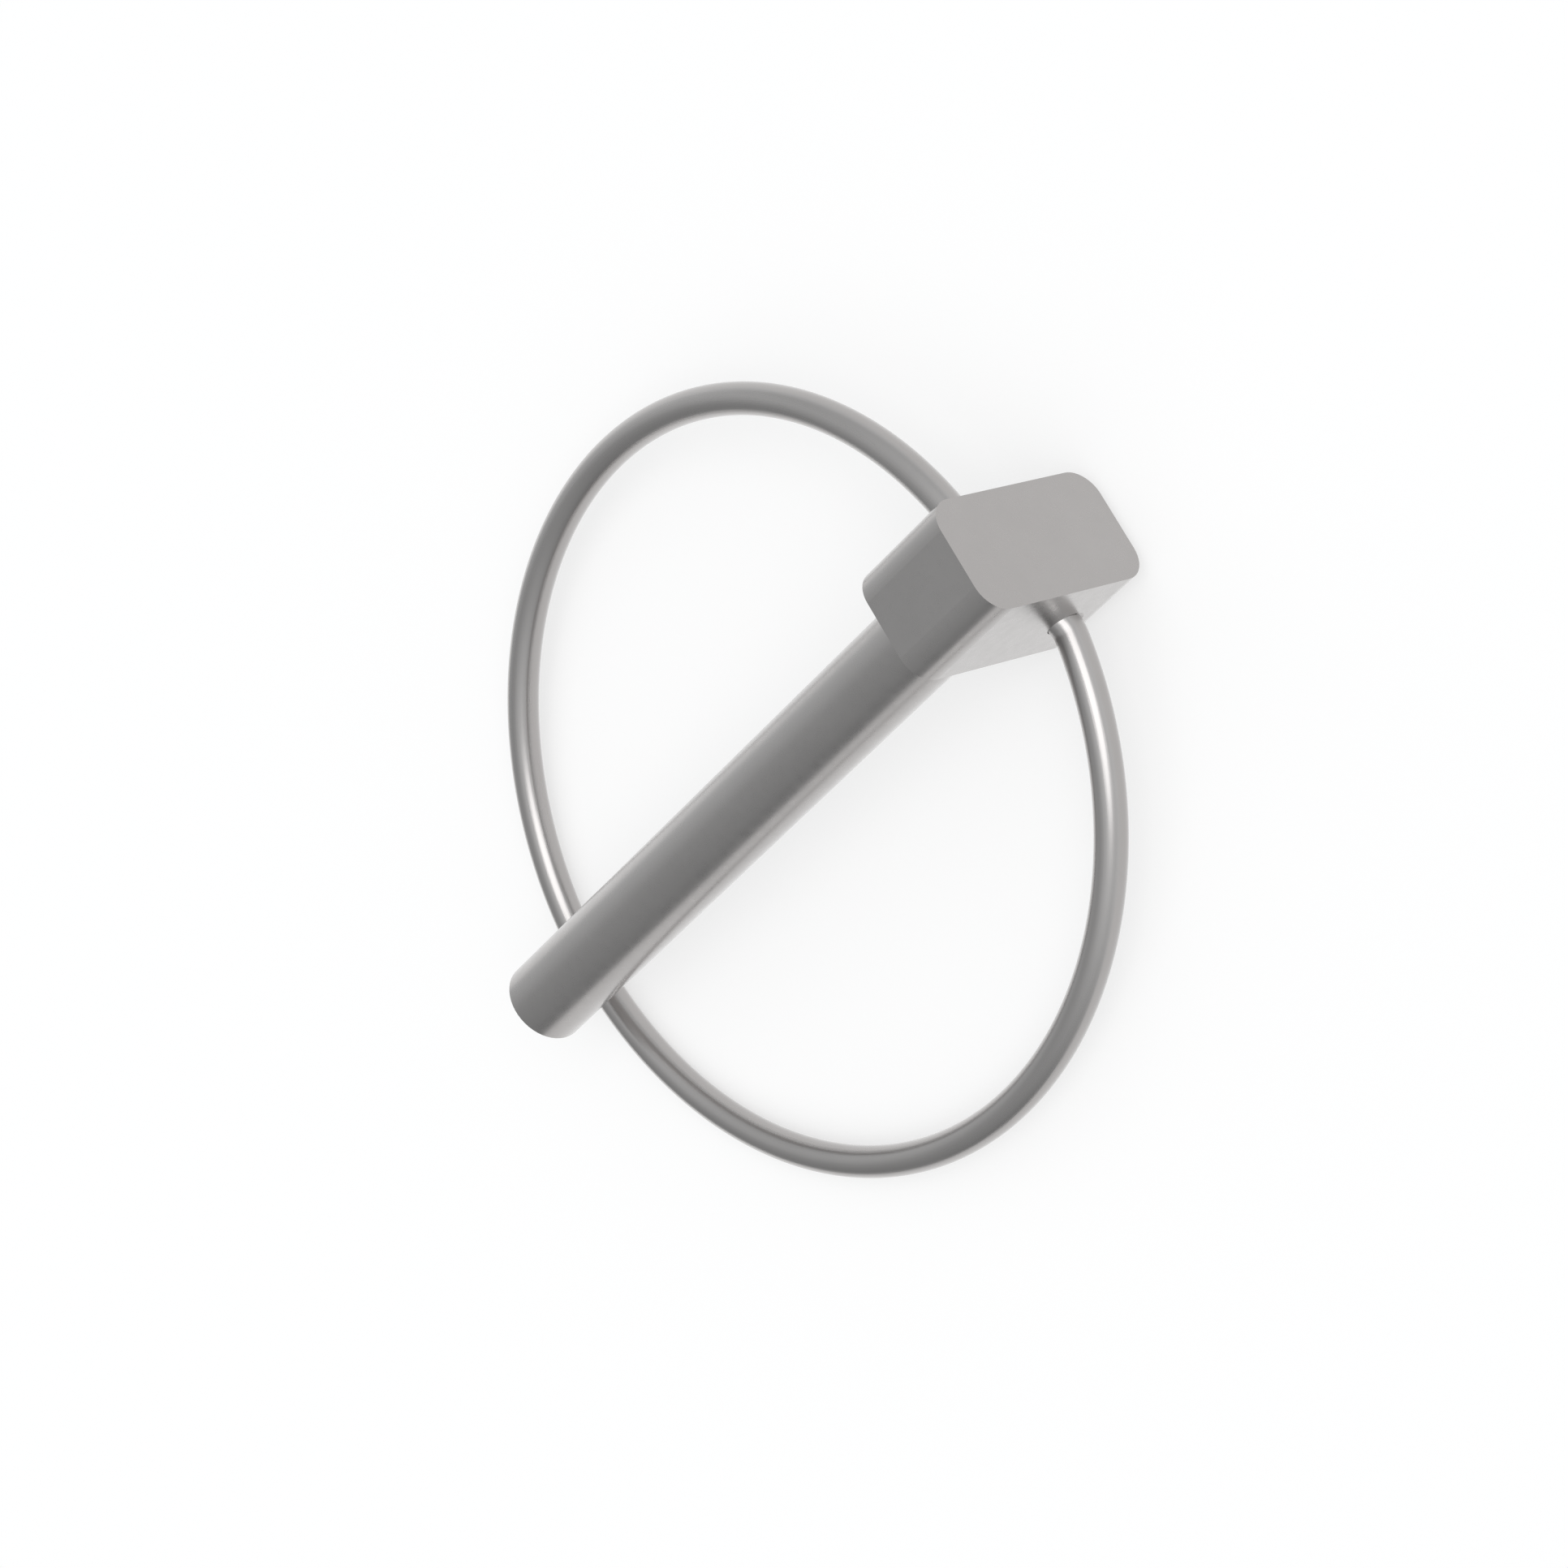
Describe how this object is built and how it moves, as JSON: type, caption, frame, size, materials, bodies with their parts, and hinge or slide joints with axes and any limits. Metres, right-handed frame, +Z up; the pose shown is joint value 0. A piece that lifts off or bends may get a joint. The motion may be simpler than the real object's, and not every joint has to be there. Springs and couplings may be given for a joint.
{
  "type": "lynch pin",
  "caption": "Lynch pin: a round shank under a blocky head, locked by a sprung wire ring that swings over the pin's tip.",
  "frame": {"origin": "on the ground, under the middle of the part's box as it lies with its ring side down", "axes": "+X from the head towards the tip, +Y to the side of the head that the shank is flush with, +Z up; the shank's axis leans 5.7 degrees down towards the tip"},
  "size_m": [0.0584, 0.055, 0.016],
  "materials": {
    "pin_steel": "satin bright zinc plating over forged steel",
    "ring_wire": "smooth bright zinc plating over drawn spring wire"
  },
  "bodies": {
    "pin": {"pin": "pin_steel"},
    "ring": {"spring_ring": "ring_wire"}
  },
  "joints": [
    {"name": "ring_swing", "type": "hinge", "parent": "pin", "child": "ring", "pos_m": [-0.02407, 0, 0.00639], "axis": [-0.0387, 0.9203, -0.3894], "range_deg": [0, 180]}
  ]
}
